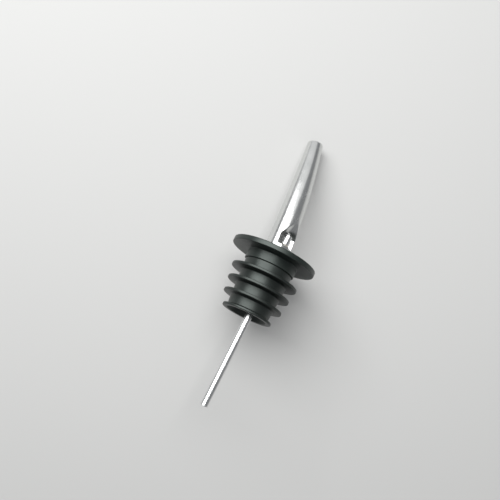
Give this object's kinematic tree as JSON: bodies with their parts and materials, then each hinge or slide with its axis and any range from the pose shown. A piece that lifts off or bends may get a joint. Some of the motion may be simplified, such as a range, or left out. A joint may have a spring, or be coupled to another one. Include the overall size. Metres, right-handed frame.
{
  "type": "liquor pour spout",
  "caption": "Free-flow bottle pourer: a tapered steel spout with a pressed scoop and a long vent tube turns in a flanged collar with a finned rubber cork.",
  "frame": {"origin": "centre of the flange's underside, the ring that rests on the bottle's mouth", "axes": "+Z along the collar's axis towards the outlet, +X the way the spout leans and pours, the scoop and the vent on the -X side"},
  "size_m": [0.035, 0.035, 0.1172],
  "materials": {
    "collar_plastic": "satin black moulding",
    "cork_rubber": "satin black rubber",
    "spout_steel": "polished, with a fine satin grain",
    "vent_steel": "bright drawn tube",
    "braze": "dull silver braze"
  },
  "bodies": {
    "stopper": {"collar": "collar_plastic", "finned_cork": "cork_rubber"},
    "spout": {"pour_spout": "spout_steel", "vent_tube": "vent_steel", "vent_braze": "braze"}
  },
  "joints": [
    {"name": "spout_swivel", "type": "hinge", "parent": "stopper", "child": "spout", "pos_m": [0, 0, 0], "axis": [0, 0, 1], "continuous": true}
  ]
}
